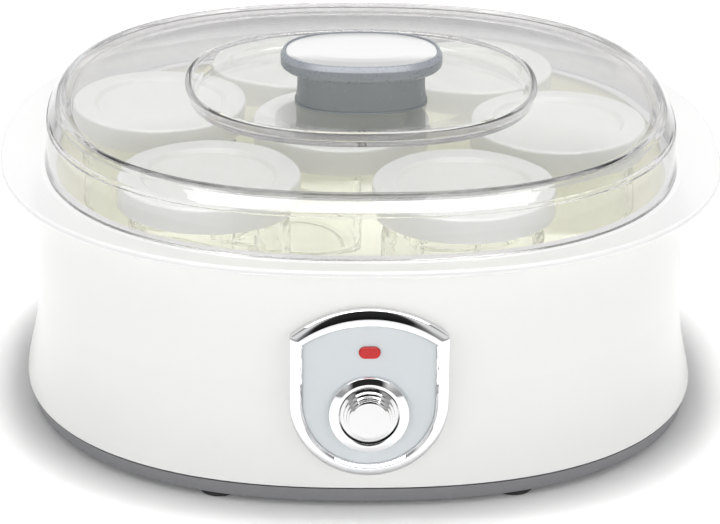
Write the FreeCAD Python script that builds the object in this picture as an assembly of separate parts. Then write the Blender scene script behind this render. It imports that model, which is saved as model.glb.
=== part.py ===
"""Electric yogurt maker with seven glass jars under one clear lid.

Frame: millimetres, +Z up, front control panel towards -Y, +X to the right of
someone facing the panel.  The origin is the middle of the footprint, on the
surface that the rubber feet stand on.
"""
import FreeCAD
import Part

import math
import os

Vec = FreeCAD.Vector
UP = Vec(0, 0, 1)
ORIGIN = Vec(0, 0, 0)

# ---------------------------------------------------------------- plan shape
# Every horizontal section is a rounded oval |x/a|^n + |y/b|^n = 1.  An outline
# is named by its half-width a; its half-depth is always OVAL_SLIMMER less.
OVAL_SLIMMER = 8.6
OVAL_POWER = 2.35
OVAL_POINTS = 32

# ------------------------------------------------------- heights on the Z axis
FOOT_HEIGHT = 2.0
BASE_FLOOR = 2.2           # thickness of the base cover's floor
BASE_RING_TOP = 7.8
SHELL_BOTTOM = 8.5         # 0.7 mm above the base ring: the parting line
NECK_START = 45.0          # the shell's side is upright above this height
SHELL_TOP = 88.3
JAR_FLOOR = 26.5           # the level on which the jars stand
SEAT = 91.3                # the flat on the flange that carries the lid
FLANGE_EDGE = 94.2         # crest of the flange's outer edge
LID_STEP = 107.3
LID_CREASE = 112.1
WELL_RIM = 118.7
WELL_FOOT = 113.1
WELL_FLOOR = 110.3
KNOB_CAP_BOTTOM = 124.0
KNOB_CAP_TOP = 130.4

# --------------------------------------------- half-widths of the big outlines
FOOTPRINT = 125.5
NECK = 120.5
FLANGE = 133.5
LID_WALL = 116.3
LID_FLARE = 117.4
CREASE = 107.1
WELL = 62.7
STEM = 24.2
KNOB = 30.0
ROOM_TOP = 112.1           # inside of the bowl at the seat
ROOM_FOOT = 109.5          # inside of the bowl just above its floor

# ------------------------------------------------------------- wall thicknesses
SHELL_WALL = 2.5
BOWL_WALL = 2.2
LID_SHEET = 2.5
SEAT_GAP = 0.05

# ------------------------------------------------------------------------ jars
JAR_SPOTS = {
    "centre": (-7.3, -4.5),
    "left": (-74.8, 16.0),
    "right": (72.8, -6.0),
    "front_left": (-55.6, -58.2),
    "front_right": (34.3, -67.3),
    "back_left": (-25.0, 61.0),
    "back_right": (43.2, 54.0),
}
JAR_RADIUS = 29.0
JAR_HEIGHT = 74.6
JAR_GLASS = 2.4
JAR_RIM_RADIUS = 30.4
JAR_LID_RADIUS = 32.5
JAR_LID_TOP = 77.0         # above the jar's own foot
JAR_LID_SKIRT = 9.4
JAR_LID_WALL = 1.6

# --------------------------------------------------------------- control panel
# Built upright in its own frame: x across, y outwards negative, z up the face,
# origin at the middle of the face, then leaned back and put on the shell.
PANEL_LEAN = 2.5           # degrees
PANEL_Y = -114.4
PANEL_Z = 44.3
PANEL_HALF_WIDTH = 27.8
PANEL_HALF_HEIGHT = 31.5
PANEL_CORNER = 20.8        # height of the top corners above the middle
PANEL_ROUNDING = 2.0       # radius of the top corners
BEZEL_WIDTH = 4.65
BEZEL_TOP = 6.7            # the bezel's width in the middle of the arch
BEZEL_PROUD = 1.8
BAND_WIDTH = 3.6           # the bezel's rising outer band, outside its inner slope
BAND_TOP = 5.9
BEZEL_INSIDE = 0.9         # height at which the inner slope ends
PLATE = 1.2
BUTTON_Z = -8.0
BUTTON_RADIUS = 10.2
BUTTON_PROUD = 6.4
RING_RADIUS = 14.2
RING_SPIGOT = 12.3
LAMP_Z = 15.0
LENS_LENGTH = 7.6
LENS_HEIGHT = 4.5
BRACKET_FRONT = 10.6       # depth of the switch bracket behind the face
BRACKET = 1.4

# The bowl's front wall bulges inwards to clear the switch.
BULGE_Y = -105.0
BULGE_RADIUS = 21.0
BULGE_TOP = 74.0

# ------------------------------------------------------------ base and fixings
FOOT_SPOT = (52.5, 100.0)
FOOT_RADIUS = 7.0
BASE_SCREW_SPOT = (66.0, 58.0)
HEATER_SCREW_SPOT = (38.0, 32.0)
BOSS_RADIUS = 5.0
SCREW_SHANK = 1.5
SCREW_PILOT = 1.6
GLAND_Z = 15.0
GLAND_BORE = 3.4
GLAND_NECK = 5.5           # half the width of the gland's square neck

# -------------------------------------------------------------------- heater
SPREADER = 1.5
SPREADER_OVAL = 88.0
REFLECTOR_OVAL = 82.0
REFLECTOR_TOP = 19.6
REFLECTOR = 1.2
ELEMENT_OVAL = 62.0
ELEMENT_RADIUS = 1.5
THERMOSTAT_RADIUS = 8.0
THERMOSTAT_FOOT = 13.0


# ================================================================ shape tools
def oval_point(half_width, half_depth, angle, z):
    """The outline's point in the direction of angle."""
    x_share = abs(math.cos(angle) / half_width) ** OVAL_POWER
    y_share = abs(math.sin(angle) / half_depth) ** OVAL_POWER
    reach = (x_share + y_share) ** (-1 / OVAL_POWER)
    return Vec(reach * math.cos(angle), reach * math.sin(angle), z)


def oval_wire(half_width, z):
    """A closed smooth rounded oval at height z."""
    half_depth = half_width - OVAL_SLIMMER
    turn = 2 * math.pi / OVAL_POINTS
    points = [oval_point(half_width, half_depth, turn * i, z) for i in range(OVAL_POINTS)]
    curve = Part.BSplineCurve()
    curve.interpolate(Points=points, PeriodicFlag=True)
    return Part.Wire(curve.toShape())


def oval_solid(runs):
    """A solid whose side follows runs of (half_width, z), capped flat at both ends.

    A run of two points is a straight-sided band and a longer run a smooth one.
    Each run starts where the run before it ends.
    """
    faces = []
    start = oval_wire(*runs[0][0])
    faces.append(Part.Face(start))
    for run in runs:
        wires = [start] + [oval_wire(*place) for place in run[1:]]
        faces.extend(Part.makeLoft(wires, False, len(run) == 2).Faces)
        start = wires[-1]
    faces.append(Part.Face(start))
    shell = Part.Compound(faces)
    shell.sewShape(1e-4)
    solid = Part.Solid(shell.Shells[0])
    if solid.Volume < 0:
        solid.reverse()
    return solid


def cylinder(radius, x, y, low, high):
    return Part.makeCylinder(radius, high - low, Vec(x, y, low), UP)


def block(x, y, z):
    """A box from three (low, high) pairs."""
    return Part.makeBox(x[1] - x[0], y[1] - y[0], z[1] - z[0], Vec(x[0], y[0], z[0]))


def turned(points):
    """A solid of revolution about the Z axis from its (radius, z) outline."""
    corners = [Vec(r, 0, z) for r, z in points]
    face = Part.Face(Part.makePolygon(corners + corners[:1]))
    return face.revolve(ORIGIN, UP, 360)


def fused(shapes):
    return shapes[0].multiFuse(shapes[1:]).removeSplitter()


def moved(shape, x=0, y=0, z=0):
    copy = shape.copy()
    copy.translate(Vec(x, y, z))
    return copy


def four_ways(spot):
    """The four corners (+-x, +-y)."""
    return [(sx * spot[0], sy * spot[1]) for sx in (-1, 1) for sy in (-1, 1)]


def tube(points, radius):
    """A round wire through straight runs joined by tangent arcs."""
    edges = []
    last = points[0]
    for before, corner, after in zip(points, points[1:], points[2:]):
        back = (before - corner).normalize()
        ahead = (after - corner).normalize()
        half_turn = (math.pi - back.getAngle(ahead)) / 2
        shorter = min((before - corner).Length, (after - corner).Length)
        trim = 0.45 * shorter
        bend = trim / math.tan(half_turn)
        start = corner + back * trim
        end = corner + ahead * trim
        inward = (back + ahead).normalize()
        middle = corner + inward * (math.hypot(trim, bend) - bend)
        edges.append(Part.makeLine(last, start))
        edges.append(Part.Arc(start, middle, end).toShape())
        last = end
    edges.append(Part.makeLine(last, points[-1]))
    path = Part.Wire(edges)
    profile = Part.Wire(Part.makeCircle(radius, points[0], points[1] - points[0]))
    return path.makePipeShell([profile], True, False)


# ============================================================== control panel
def on_panel(shape):
    """Put a shape that was built in the panel's own frame on the leaning face."""
    shape.rotate(ORIGIN, Vec(1, 0, 0), -PANEL_LEAN)
    shape.translate(Vec(0, PANEL_Y, PANEL_Z))
    return shape


def shield_wire(inset, top_inset, front):
    """The panel's outline: arched top, rounded corners, upright sides, half-round foot."""
    half = PANEL_HALF_WIDTH - inset
    foot = PANEL_HALF_WIDTH - PANEL_HALF_HEIGHT
    top = PANEL_HALF_HEIGHT - top_inset
    rise = top - PANEL_CORNER + 0.72 * inset
    radius = (half ** 2 + rise ** 2) / (2 * rise)
    spoke = half - PANEL_ROUNDING
    lift = math.sqrt((radius - PANEL_ROUNDING) ** 2 - spoke ** 2)
    lean = math.atan2(lift, spoke)
    centre = top - radius

    def at(side, x, z):
        return Vec(side * x, -front, z)

    def corner(side):
        """Side end, middle and arch end of one top corner's arc."""
        turns = (0, lean / 2, lean)
        return [at(side, spoke + PANEL_ROUNDING * math.cos(turn),
                   centre + lift + PANEL_ROUNDING * math.sin(turn)) for turn in turns]

    left, right = corner(-1), corner(1)
    return Part.Wire([
        Part.makeLine(at(-1, half, foot), left[0]),
        Part.Arc(*left).toShape(),
        Part.Arc(left[2], at(1, 0, top), right[2]).toShape(),
        Part.Arc(*reversed(right)).toShape(),
        Part.makeLine(right[0], at(1, half, foot)),
        Part.Arc(at(1, half, foot), at(1, 0, foot - half), at(-1, half, foot)).toShape(),
    ])


def shield(inset, top_inset, front, back):
    """A bar of the panel's outline, from its front to its back depth."""
    return Part.Face(shield_wire(inset, top_inset, front)).extrude(Vec(0, front - back, 0))


def disc(radius, front, back, z=0.0, x=0.0):
    """A round bar square to the panel, from its front to its back depth."""
    return Part.makeCylinder(radius, front - back, Vec(x, -front, z), Vec(0, 1, 0))


def stadium(length, height, front, back, z):
    """A bar of rounded-slot section square to the panel."""
    reach = (length - height) / 2
    ends = [disc(height / 2, front, back, z, side * reach) for side in (-1, 1)]
    middle = block((-reach, reach), (-front, -back), (z - height / 2, z + height / 2))
    return fused(ends + [middle])


def panel_turned(points, z):
    """A solid of revolution about a line square to the panel, from (radius, height)."""
    solid = turned(points)
    solid.rotate(ORIGIN, Vec(1, 0, 0), 90)
    solid.translate(Vec(0, 0, z))
    return solid


def panel_plate():
    plate = shield(BEZEL_WIDTH + 0.05, BEZEL_TOP + 0.05, 0, -PLATE)
    plate = plate.cut(disc(RING_SPIGOT + 0.05, 1, -PLATE - 1, BUTTON_Z))
    window = stadium(LENS_LENGTH + 0.1, LENS_HEIGHT + 0.1, 1, -PLATE - 1, LAMP_Z)
    return on_panel(plate.cut(window))


def panel_bezel(shell_block):
    """Bright frame: a band that rises inwards, a slope to the plate and a skirt to the shell."""
    rise = [(0, 0, -6.5), (0, 0, 0.3), (0.2, 0.3, 0.65), (0.7, 1.1, 1.05), (1.8, 2.9, 1.55),
            (2.9, 4.7, BEZEL_PROUD)]
    outer = Part.makeLoft([shield_wire(*place) for place in rise], True, True)
    slope_rims = [shield_wire(BAND_WIDTH, BAND_TOP, BEZEL_PROUD + 0.01),
                  shield_wire(BEZEL_WIDTH, BEZEL_TOP, BEZEL_INSIDE)]
    hollows = [
        Part.makeLoft(slope_rims, True, True),
        shield(BEZEL_WIDTH, BEZEL_TOP, BEZEL_PROUD + 1, -PLATE),
        shield(1.3, 1.3, -PLATE, -7.5),
    ]
    bezel = outer.cut(hollows)
    bezel = on_panel(bezel).cut(shell_block)
    return max(bezel.Solids, key=lambda solid: solid.Volume)


def led_lens():
    lens = stadium(LENS_LENGTH, LENS_HEIGHT, 0.9, -2.6, LAMP_Z)
    rim = [edge for edge in lens.Edges if edge.BoundBox.YMax < -0.89]
    lens = lens.makeFillet(0.7, rim)
    flange = stadium(LENS_LENGTH + 1.6, LENS_HEIGHT + 1.6, -PLATE - 0.05, -2.6, LAMP_Z)
    return on_panel(fused([lens, flange]))


def indicator_lamp():
    """Small lamp: a round-nosed bulb on a base with two legs."""
    bulb = panel_turned([(0, -2.9), (1.5, -3.1), (2.4, -4.2), (2.4, -7.0), (0, -7.0)], LAMP_Z)
    base = disc(2.9, -7.0, -8.4, LAMP_Z)
    legs = [disc(0.35, -8.4, -11.0, LAMP_Z, side * 1.27) for side in (-1, 1)]
    return on_panel(fused([bulb, base] + legs))


def button_ring():
    """Bright ring round the button, with a spigot through the plate and the shell."""
    outline = [
        (10.6, 2.2), (10.8, 2.45), (11.3, 2.42), (12.1, 2.2), (13.1, 1.8), (13.8, 1.4),
        (RING_RADIUS, 0.9), (RING_RADIUS, 0.05),
        (RING_SPIGOT, 0.05), (RING_SPIGOT, -5.0), (10.6, -5.0),
    ]
    return on_panel(panel_turned(outline, BUTTON_Z))


def push_button():
    """Hollow button in three steps, with a flange behind the ring and a stem to the switch."""
    outline = [
        (0, BUTTON_PROUD), (6.6, BUTTON_PROUD), (7.1, BUTTON_PROUD - 0.3), (7.3, 5.2), (7.9, 5.0),
        (8.05, 3.6), (8.6, 3.4), (8.75, 2.2), (9.9, 1.9), (BUTTON_RADIUS, 1.4),
        (BUTTON_RADIUS, -5.4), (11.6, -5.4), (11.6, -6.6), (8.6, -6.6), (8.6, 0.4), (2.6, 0.4),
        (2.6, -13.4), (0, -13.4),
    ]
    return on_panel(panel_turned(outline, BUTTON_Z))


def button_spring():
    """Return spring between the button's inside and the bracket."""
    wire_radius = 0.45
    coil_radius = 5.6
    turns = 3
    per_turn = 12
    height = BRACKET_FRONT + 0.4 - 2 * wire_radius - 0.1
    points = []
    for i in range(turns * per_turn + 1):
        angle = 2 * math.pi * i / per_turn
        rise = height * i / (turns * per_turn)
        points.append(Vec(coil_radius * math.cos(angle), coil_radius * math.sin(angle), rise))
    curve = Part.BSplineCurve()
    curve.interpolate(Points=points)
    profile = Part.Wire(Part.makeCircle(wire_radius, points[0], curve.tangent(0)[0]))
    spring = Part.Wire(curve.toShape()).makePipeShell([profile], True, True)
    spring.rotate(ORIGIN, Vec(1, 0, 0), 90)
    spring.translate(Vec(0, BRACKET_FRONT - wire_radius - 0.05, BUTTON_Z))
    return on_panel(spring)


def switch_bracket():
    """Plate on two posts inside the shell, with a sleeve for the switch's neck."""
    depth = (BRACKET_FRONT, BRACKET_FRONT + BRACKET)
    plate = block((-17.5, 17.5), depth, (BUTTON_Z - 9, BUTTON_Z + 9))
    plate = plate.cut(disc(2.8, 0, -30, BUTTON_Z))
    for side in (-1, 1):
        plate = plate.cut(disc(1.7, 0, -30, BUTTON_Z, side * 14.5))
    return on_panel(plate)


def switch_screws():
    screws = []
    for side in (-1, 1):
        head = disc(2.6, -BRACKET_FRONT - BRACKET, -BRACKET_FRONT - BRACKET - 1.6, BUTTON_Z, side * 14.5)
        shank = disc(1.2, -5.5, -BRACKET_FRONT - BRACKET, BUTTON_Z, side * 14.5)
        screws.append(on_panel(fused([head, shank])))
    return Part.Compound(screws)


def switch_body():
    """Latching mains switch with two blade terminals underneath."""
    front = BRACKET_FRONT + BRACKET
    body = block((-9, 9), (front, front + 10.5), (BUTTON_Z - 8, BUTTON_Z + 8))
    body = body.cut(disc(2.8, 0, -front - 6.5, BUTTON_Z))
    blades = []
    for side in (-1, 1):
        blades.append(block((side * 4.5 - 2, side * 4.5 + 2), (front + 5, front + 5.8),
                            (BUTTON_Z - 13, BUTTON_Z - 8)))
    return on_panel(fused([body] + blades))


# ============================================================ casing and bowl
def shell_side(offset):
    """The outer side of the shell, moved outwards by offset: upright neck, flared foot."""
    flare = [
        (NECK + offset, NECK_START), (NECK + 0.5 + offset, 35.0), (NECK + 2.1 + offset, 22.0),
        (FOOTPRINT - 0.7 + offset, 12.0), (FOOTPRINT + offset, SHELL_BOTTOM),
    ]
    neck = [(NECK + offset, SHELL_TOP), (NECK + offset, NECK_START)]
    return [neck, flare]


def body_shell():
    """White outer wall with a flat pad, posts and holes for the panel and a rear notch."""
    outer = oval_solid(shell_side(0))
    inner = oval_solid(shell_side(-SHELL_WALL))
    past_ends = fused([
        inner,
        oval_solid([[(FOOTPRINT - SHELL_WALL, SHELL_BOTTOM), (FOOTPRINT - SHELL_WALL, 0)]]),
        oval_solid([[(NECK - SHELL_WALL, SHELL_TOP), (NECK - SHELL_WALL, SHELL_TOP + 5)]]),
    ])
    pad = on_panel(shield(1.35, 1.35, -PLATE, -7.0))
    posts = [on_panel(disc(2.6, -5, -BRACKET_FRONT, BUTTON_Z, side * 14.5)) for side in (-1, 1)]
    wall = outer.cut(past_ends)
    wall = wall.cut(on_panel(shield(0, 0, 8, -PLATE - 0.02)))
    wall = fused([wall, pad] + posts)
    wall = wall.cut(on_panel(disc(RING_SPIGOT + 0.05, 5, -9, BUTTON_Z)))
    wall = wall.cut(on_panel(stadium(LENS_LENGTH + 1.8, LENS_HEIGHT + 1.8, 5, -9, LAMP_Z)))
    for side in (-1, 1):
        wall = wall.cut(on_panel(disc(1.25, -5.4, -20, BUTTON_Z, side * 14.5)))
    return wall.cut(gland_neck(0.05, 100, 130))


def base_cover():
    """Grey tray that closes the bottom, with a rib inside the shell and screw wells."""
    floor_top = FOOT_HEIGHT + BASE_FLOOR
    tray = oval_solid([
        [(FOOTPRINT - 2.5, FOOT_HEIGHT), (FOOTPRINT - 1.7, FOOT_HEIGHT + 0.5)],
        [(FOOTPRINT - 1.7, FOOT_HEIGHT + 0.5), (FOOTPRINT - 0.3, BASE_RING_TOP)],
        [(FOOTPRINT - 0.3, BASE_RING_TOP), (FOOTPRINT - 3.0, BASE_RING_TOP)],
        [(FOOTPRINT - 3.0, BASE_RING_TOP), (FOOTPRINT - 4.0, 12.5)],
    ])
    hollow = oval_solid([[(FOOTPRINT - 5.8, floor_top), (FOOTPRINT - 5.8, 14.0)]])
    tray = tray.cut(hollow).cut(gland_neck(0.3, 100, FOOTPRINT - OVAL_SLIMMER - 2.0))
    wells = [cylinder(BOSS_RADIUS + 1.5, x, y, floor_top - 0.5, 9.0)
             for x, y in four_ways(BASE_SCREW_SPOT)]
    tray = fused([tray] + wells)
    for x, y in four_ways(BASE_SCREW_SPOT):
        tray = tray.cut(cylinder(4.2, x, y, 0, 6.5))
        tray = tray.cut(cylinder(1.9, x, y, 0, 12))
    for x, y in four_ways(FOOT_SPOT):
        tray = tray.cut(cylinder(FOOT_RADIUS + 0.1, x, y, 0, FOOT_HEIGHT + 0.5))
        tray = tray.cut(cylinder(2.6, x, y, 0, 8))
    for row in range(-3, 4):
        slot = block((-24, 24), (row * 9 - 1.2, row * 9 + 1.2), (0, 8))
        tray = tray.cut(slot)
    return tray


def rubber_foot(x, y):
    """Round foot with a stem pressed through the base."""
    seat = FOOT_HEIGHT + 0.45
    floor_top = FOOT_HEIGHT + BASE_FLOOR
    outline = [
        (0, 0), (FOOT_RADIUS - 0.6, 0), (FOOT_RADIUS, 0.6), (FOOT_RADIUS, seat), (2.5, seat),
        (2.5, floor_top + 0.1), (3.4, floor_top + 0.1), (2.2, floor_top + 1.8), (0, floor_top + 1.8),
    ]
    return moved(turned(outline), x, y)


def base_screws():
    """Four long self-tapping screws up into the bowl's posts."""
    screws = []
    for x, y in four_ways(BASE_SCREW_SPOT):
        head = cylinder(3.8, x, y, 4.1, 6.4)
        cross = [block((x - 1.8, x + 1.8), (y - 0.4, y + 0.4), (4, 5)),
                 block((x - 0.4, x + 0.4), (y - 1.8, y + 1.8), (4, 5))]
        shank = cylinder(SCREW_SHANK, x, y, 6.4, 20.0)
        screws.append(fused([head, shank]).cut(fused(cross)))
    return Part.Compound(screws)


def bowl_bulge(radius, top):
    """Half-round column that the front wall bulges into, with a rounded head."""
    column = cylinder(radius, 0, BULGE_Y, 0, top)
    crown = [edge for edge in column.Edges if abs(edge.BoundBox.ZMin - top) < 0.01
             and abs(edge.BoundBox.ZMax - top) < 0.01]
    return column.makeFillet(4.0, crown)


def inner_bowl():
    """White bowl: jar floor, drafted wall, dished flange and posts underneath."""
    under = JAR_FLOOR - BOWL_WALL
    lip = 2.7
    outer = oval_solid([
        [(ROOM_FOOT - 3.5, under), (ROOM_FOOT + BOWL_WALL - 1.2, under + 1.6),
         (ROOM_FOOT + BOWL_WALL, under + 5.0)],
        [(ROOM_FOOT + BOWL_WALL, under + 5.0), (ROOM_TOP + BOWL_WALL, SEAT - lip)],
        [(ROOM_TOP + BOWL_WALL, SEAT - lip), (NECK + 0.5, SEAT - lip)],
        [(NECK + 0.5, SEAT - lip), (FLANGE - 1.2, FLANGE_EDGE - lip)],
        [(FLANGE - 1.2, FLANGE_EDGE - lip), (FLANGE - 0.2, FLANGE_EDGE - lip + 0.5),
         (FLANGE, FLANGE_EDGE - 1.3), (FLANGE - 0.3, FLANGE_EDGE - 0.35),
         (FLANGE - 1.1, FLANGE_EDGE)],
        [(FLANGE - 1.1, FLANGE_EDGE), (LID_FLARE + 1.6, SEAT)],
        [(LID_FLARE + 1.6, SEAT), (ROOM_TOP + 0.3, SEAT)],
    ])
    room = oval_solid([
        [(ROOM_FOOT - 5.0, JAR_FLOOR), (ROOM_FOOT - 1.2, JAR_FLOOR + 1.1), (ROOM_FOOT, JAR_FLOOR + 4.0)],
        [(ROOM_FOOT, JAR_FLOOR + 4.0), (ROOM_TOP, SEAT + 0.1)],
        [(ROOM_TOP, SEAT + 0.1), (ROOM_TOP, SEAT + 6.0)],
    ])
    room = room.cut(bowl_bulge(BULGE_RADIUS, BULGE_TOP))
    bowl = outer.cut(room).cut(bowl_bulge(BULGE_RADIUS - BOWL_WALL, BULGE_TOP - BOWL_WALL))
    posts = [cylinder(BOSS_RADIUS, x, y, 9.1, JAR_FLOOR - 1) for x, y in four_ways(BASE_SCREW_SPOT)]
    posts += [cylinder(4.0, x, y, REFLECTOR_TOP + 0.1, JAR_FLOOR - 1)
              for x, y in four_ways(HEATER_SCREW_SPOT)]
    bowl = bowl.multiFuse(posts)
    for x, y in four_ways(BASE_SCREW_SPOT) + four_ways(HEATER_SCREW_SPOT):
        bowl = bowl.cut(cylinder(SCREW_PILOT, x, y, 0, under))
    return bowl


def gland_neck(gap, inside, outside):
    """The square room that the gland's neck takes, widened by gap, down to the base ring."""
    reach = GLAND_NECK + gap
    return block((-reach, reach), (inside, outside), (BASE_RING_TOP + 0.3 - gap, GLAND_Z + reach))


def cord_gland(shell_block):
    """Grommet in the rear notch that guides a mains cord; no cord is fitted."""
    wide = GLAND_NECK + 2.5
    low = SHELL_BOTTOM + 0.1
    flange = block((-wide, wide), (105, 118.5), (low, GLAND_Z + wide))
    corners = [edge for edge in flange.Edges if edge.BoundBox.YLength > 10 and edge.BoundBox.ZMin > GLAND_Z]
    flange = flange.makeFillet(3.0, corners).cut(shell_block)
    lock = block((-wide, wide), (104, 109), (low + 4, GLAND_Z + wide))
    gland = fused([flange, gland_neck(0, 104, 118.5), lock])
    return gland.cut(Part.makeCylinder(GLAND_BORE, 40, Vec(0, 90, GLAND_Z), Vec(0, 1, 0)))


# ================================================================ lid and knob
def lid_cover():
    """Clear lid: upright wall, raised round shoulder, shallow dome and a well for the knob."""
    low = SEAT + SEAT_GAP
    t = LID_SHEET
    lid = oval_solid([
        [(STEM + 0.6, WELL_FLOOR), (38.0, WELL_FLOOR + 0.5), (51.0, WELL_FLOOR + 1.5), (WELL - 0.9, WELL_FOOT)],
        [(WELL - 0.9, WELL_FOOT), (WELL, WELL_RIM)],
        [(WELL, WELL_RIM), (74.0, 117.7), (90.0, 115.6), (CREASE, LID_CREASE)],
        [(CREASE, LID_CREASE), (109.5, 113.5), (112.0, 113.9), (114.4, 112.6), (115.5, 110.2),
         (115.7, LID_STEP + 0.5)],
        [(115.7, LID_STEP + 0.5), (LID_WALL, LID_STEP)],
        [(LID_WALL, LID_STEP), (LID_WALL + 0.2, SEAT + 3.5), (LID_FLARE, low)],
        [(LID_FLARE, low), (LID_FLARE - t, low)],
        [(LID_FLARE - t, low), (LID_WALL + 0.2 - t, SEAT + 3.5), (LID_WALL - t - 0.4, LID_STEP)],
        [(LID_WALL - t - 0.4, LID_STEP), (113.1, 109.3), (112.3, 110.7), (111.0, 111.3), (109.0, 110.9),
         (CREASE - 0.5, LID_CREASE - t)],
        [(CREASE - 0.5, LID_CREASE - t), (90.0, 115.6 - t), (74.0, 117.7 - t), (WELL + t, WELL_RIM - t)],
        [(WELL + t, WELL_RIM - t), (WELL + 1.4, WELL_FOOT - t)],
        [(WELL + 1.4, WELL_FOOT - t), (51.0, WELL_FLOOR + 1.5 - t), (38.0, WELL_FLOOR + 0.5 - t),
         (STEM + 0.6, WELL_FLOOR - t)],
    ])
    return lid.cut(cylinder(2.1, 0, 0, 100, 120))


def knob_stem():
    """Hollow grey stem with a plinth and a central screw post."""
    foot = WELL_FLOOR + SEAT_GAP
    stem = oval_solid([
        [(STEM + 0.5, foot), (STEM + 0.5, foot + 0.7)],
        [(STEM + 0.5, foot + 0.7), (STEM, foot + 1.0)],
        [(STEM, foot + 1.0), (STEM - 0.5, foot + 6.0), (STEM - 0.3, KNOB_CAP_BOTTOM)],
    ])
    hollow = oval_solid([[(STEM - 2.2, foot - 1), (STEM - 2.4, KNOB_CAP_BOTTOM - 2.5)]])
    stem = stem.cut(hollow)
    stem = fused([stem, cylinder(4.0, 0, 0, foot, KNOB_CAP_BOTTOM - 1)])
    return stem.cut(cylinder(SCREW_PILOT, 0, 0, foot - 1, KNOB_CAP_BOTTOM - 3))


def knob_cap():
    """Grey cap with a rounded side and a shallow recess for the bright disc."""
    cap = oval_solid([
        [(KNOB - 1.4, KNOB_CAP_BOTTOM + SEAT_GAP), (KNOB - 0.2, KNOB_CAP_BOTTOM + 1.0),
         (KNOB, KNOB_CAP_BOTTOM + 2.8), (KNOB - 0.2, KNOB_CAP_TOP - 1.6), (KNOB - 1.1, KNOB_CAP_TOP)],
        [(KNOB - 1.1, KNOB_CAP_TOP), (KNOB - 1.9, KNOB_CAP_TOP)],
        [(KNOB - 1.9, KNOB_CAP_TOP), (KNOB - 2.0, KNOB_CAP_TOP - 1.0)],
    ])
    return cap


def knob_top_disc():
    """Bright, slightly domed oval disc let into the cap."""
    edge = KNOB - 2.15
    low = KNOB_CAP_TOP - 1.0 + SEAT_GAP
    return oval_solid([
        [(edge, low), (edge, KNOB_CAP_TOP - 0.1)],
        [(edge, KNOB_CAP_TOP - 0.1), (edge - 0.5, KNOB_CAP_TOP + 0.25), (22.0, KNOB_CAP_TOP + 0.7),
         (14.0, KNOB_CAP_TOP + 0.95)],
    ])


def knob_screw():
    """Pan-head screw and washer up through the lid into the knob."""
    under = WELL_FLOOR - LID_SHEET
    washer = turned([(2.1, under - 0.05), (5.5, under - 0.05), (5.5, under - 0.75), (2.1, under - 0.75)])
    head = turned([(0, under - 0.8), (3.6, under - 0.8), (3.4, under - 2.1), (2.2, under - 2.6),
                   (0, under - 2.6)])
    shank = cylinder(SCREW_SHANK, 0, 0, under - 0.9, under + 12)
    return Part.Compound([washer, fused([head, shank])])


# ======================================================================== jars
def jar_glass():
    """Round glass jar with a rounded foot, a slight neck and a beaded rim."""
    r = JAR_RADIUS
    t = JAR_GLASS
    h = JAR_HEIGHT
    outline = [
        (0, 1.2), (20.0, 1.2), (22.0, 0), (r - 3.5, 0), (r - 1.2, 0.9), (r - 0.3, 2.6), (r, 5.0),
        (r, h - 16.0), (r - 0.6, h - 13.0), (r - 1.4, h - 11.0), (r - 1.4, h - 5.4),
        (JAR_RIM_RADIUS, h - 4.4), (JAR_RIM_RADIUS, h - 0.8), (JAR_RIM_RADIUS - 0.8, h),
        (r - t - 0.4, h), (r - t - 0.6, h - 1.0), (r - t - 0.6, h - 12.0), (r - t, h - 17.0),
        (r - t, 7.0), (r - t - 1.2, 4.8), (r - t - 3.6, 4.0), (0, 4.0),
    ]
    return turned(outline)


def jar_lid():
    """Push-on lid: skirt, flat rim, recessed middle and a sealing ring."""
    r = JAR_LID_RADIUS
    top = JAR_LID_TOP
    under = JAR_HEIGHT + 0.1
    outline = [
        (0, top - 1.6), (23.4, top - 1.6), (24.6, top - 0.2), (25.4, top), (r - 0.9, top), (r, top - 0.9),
        (r - 0.2, top - JAR_LID_SKIRT), (r - JAR_LID_WALL, top - JAR_LID_SKIRT),
        (r - JAR_LID_WALL, under), (25.6, under), (25.6, under - 3.4), (24.2, under - 3.4),
        (24.2, under - 0.6), (23.2, top - 3.2), (0, top - 3.2),
    ]
    return turned(outline)


# ====================================================================== heater
def heat_spreader():
    """Aluminium sheet against the underside of the jar floor."""
    under = JAR_FLOOR - BOWL_WALL
    sheet = oval_solid([[(SPREADER_OVAL, under - 0.05), (SPREADER_OVAL, under - 0.05 - SPREADER)]])
    for x, y in four_ways(HEATER_SCREW_SPOT):
        sheet = sheet.cut(cylinder(4.2, x, y, 0, 40))
    for x, y in four_ways(BASE_SCREW_SPOT):
        sheet = sheet.cut(cylinder(BOSS_RADIUS + 0.5, x, y, 0, 40))
    return sheet


def heating_element():
    """Insulated resistance cord laid in an open oval loop under the spreader."""
    z = JAR_FLOOR - BOWL_WALL - 0.1 - SPREADER - ELEMENT_RADIUS
    half_depth = ELEMENT_OVAL - OVAL_SLIMMER
    gap = math.radians(8)
    sweep = 2 * math.pi - 2 * gap
    turns = [math.pi / 2 + gap + sweep * i / OVAL_POINTS for i in range(OVAL_POINTS + 1)]
    points = [oval_point(ELEMENT_OVAL, half_depth, angle, z) for angle in turns]
    curve = Part.BSplineCurve()
    curve.interpolate(Points=points)
    path = Part.Wire(curve.toShape())
    profile = Part.Wire(Part.makeCircle(ELEMENT_RADIUS, points[0], curve.tangent(0)[0]))
    return path.makePipeShell([profile], True, False)


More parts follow.
